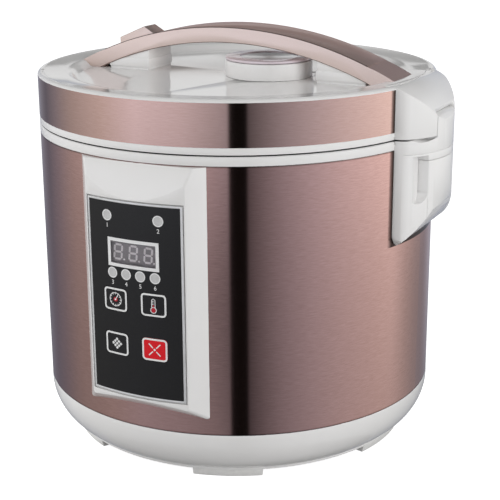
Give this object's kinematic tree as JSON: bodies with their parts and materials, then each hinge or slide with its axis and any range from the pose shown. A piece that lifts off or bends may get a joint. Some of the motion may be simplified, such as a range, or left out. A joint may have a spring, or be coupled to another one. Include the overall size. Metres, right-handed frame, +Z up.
{
  "type": "yogurt maker",
  "caption": "Round countertop fermentation pot with a bronze steel shell, hinged lid with arched handle and steam vent, raised front panel with keys and display, and dew collector at the hinge.",
  "frame": {"origin": "on the pot's axis, at the floor under the feet", "axes": "+Z up, the control panel faces -Y, the lid's hinge is at +X and the handle runs along X"},
  "size_m": [0.2878, 0.2805, 0.2784],
  "materials": {
    "white_abs": "glossy",
    "bronze_steel": "brushed",
    "bronze_plastic": "satin metallic paint",
    "mauve_plastic": "satin metallic paint",
    "silver_trim": "satin",
    "black_overlay": "glossy",
    "red_key": "glossy",
    "display_glass": "clear",
    "lamp_lens": "translucent",
    "pot_steel": "brushed",
    "aluminium": "satin",
    "steel": "plated",
    "brass": "plated",
    "circuit_board": "solder mask",
    "black_plastic": "moulded",
    "latch_nylon": "moulded",
    "silicone": "matte",
    "foot_rubber": "matte"
  },
  "bodies": {
    "body": {"feet": "foot_rubber", "base_plate": "white_abs", "base_screws": "steel", "base_housing": "white_abs", "outer_sleeve": "bronze_steel", "upper_collar": "white_abs", "inner_chamber": "pot_steel", "heater_plate": "aluminium", "heating_element": "steel", "inner_pot": "pot_steel", "temperature_sensor": "aluminium", "sensor_spring": "steel", "sensor_bracket": "steel", "thermal_fuse": "steel", "panel_bezel": "white_abs", "panel_frame": "silver_trim", "panel_overlay": "black_overlay", "display_window": "display_glass", "display_module": "black_plastic", "indicator_lamps": "lamp_lens", "control_board": "circuit_board", "board_screws": "steel", "tact_switches": "black_plastic", "power_board": "circuit_board", "power_components": "black_plastic", "power_inlet": "black_plastic", "inlet_pins": "brass", "hinge_housing": "white_abs", "hinge_pin": "steel", "hinge_spring": "steel"},
    "lid": {"lid_top": "white_abs", "lid_band": "bronze_steel", "lid_lower_ring": "white_abs", "lid_screws": "steel", "lid_inner_cover": "aluminium", "lid_seal": "silicone", "lid_hinge_cover": "white_abs", "handle": "bronze_plastic", "left_pillar": "white_abs", "right_pillar": "white_abs", "handle_screws": "steel", "button_spring": "steel", "latch_pin": "steel", "vent_housing": "white_abs"},
    "release_button": {"release_button": "bronze_plastic"},
    "latch": {"latch_hook": "latch_nylon"},
    "vent": {"vent_cap": "mauve_plastic", "vent_disc": "silver_trim"},
    "time_key": {"time_key": "black_overlay"},
    "temperature_key": {"temperature_key": "black_overlay"},
    "function_key": {"function_key": "black_overlay"},
    "cancel_key": {"cancel_key": "red_key"},
    "dew_collector": {"dew_collector": "white_abs"}
  },
  "joints": [
    {"name": "lid_hinge", "type": "hinge", "parent": "body", "child": "lid", "pos_m": [0.1445, 0, 0.224], "axis": [0, 1, 0], "range_deg": [0, 80]},
    {"name": "button_press", "type": "slide", "parent": "lid", "child": "release_button", "axis": [0, 0, -1], "range_m": [0, 0.004], "stiffness_N_per_m": 400, "springref_m": -0.004, "deforming": ["button_spring"]},
    {"name": "latch_swing", "type": "hinge", "parent": "lid", "child": "latch", "pos_m": [-0.124, 0, 0.232], "axis": [0, 1, 0], "range_deg": [0, 5]},
    {"name": "vent_lift", "type": "slide", "parent": "lid", "child": "vent", "axis": [0, 0, 1], "range_m": [0, 0.0028]},
    {"name": "time_press", "type": "slide", "parent": "body", "child": "time_key", "axis": [0, 1, 0], "range_m": [0, 0.0006], "stiffness_N_per_m": 1000, "springref_m": -0.0006},
    {"name": "temperature_press", "type": "slide", "parent": "body", "child": "temperature_key", "axis": [0, 1, 0], "range_m": [0, 0.0006], "stiffness_N_per_m": 1000, "springref_m": -0.0006},
    {"name": "function_press", "type": "slide", "parent": "body", "child": "function_key", "axis": [0, 1, 0], "range_m": [0, 0.0006], "stiffness_N_per_m": 1000, "springref_m": -0.0006},
    {"name": "cancel_press", "type": "slide", "parent": "body", "child": "cancel_key", "axis": [0, 1, 0], "range_m": [0, 0.0006], "stiffness_N_per_m": 1000, "springref_m": -0.0006},
    {"name": "dew_slide", "type": "slide", "parent": "body", "child": "dew_collector", "axis": [1, 0, 0], "range_m": [0, 0.04]}
  ],
  "couplings": [
    {"joint": "latch_swing", "follows": "button_press", "rad_per_m": 21.8}
  ]
}
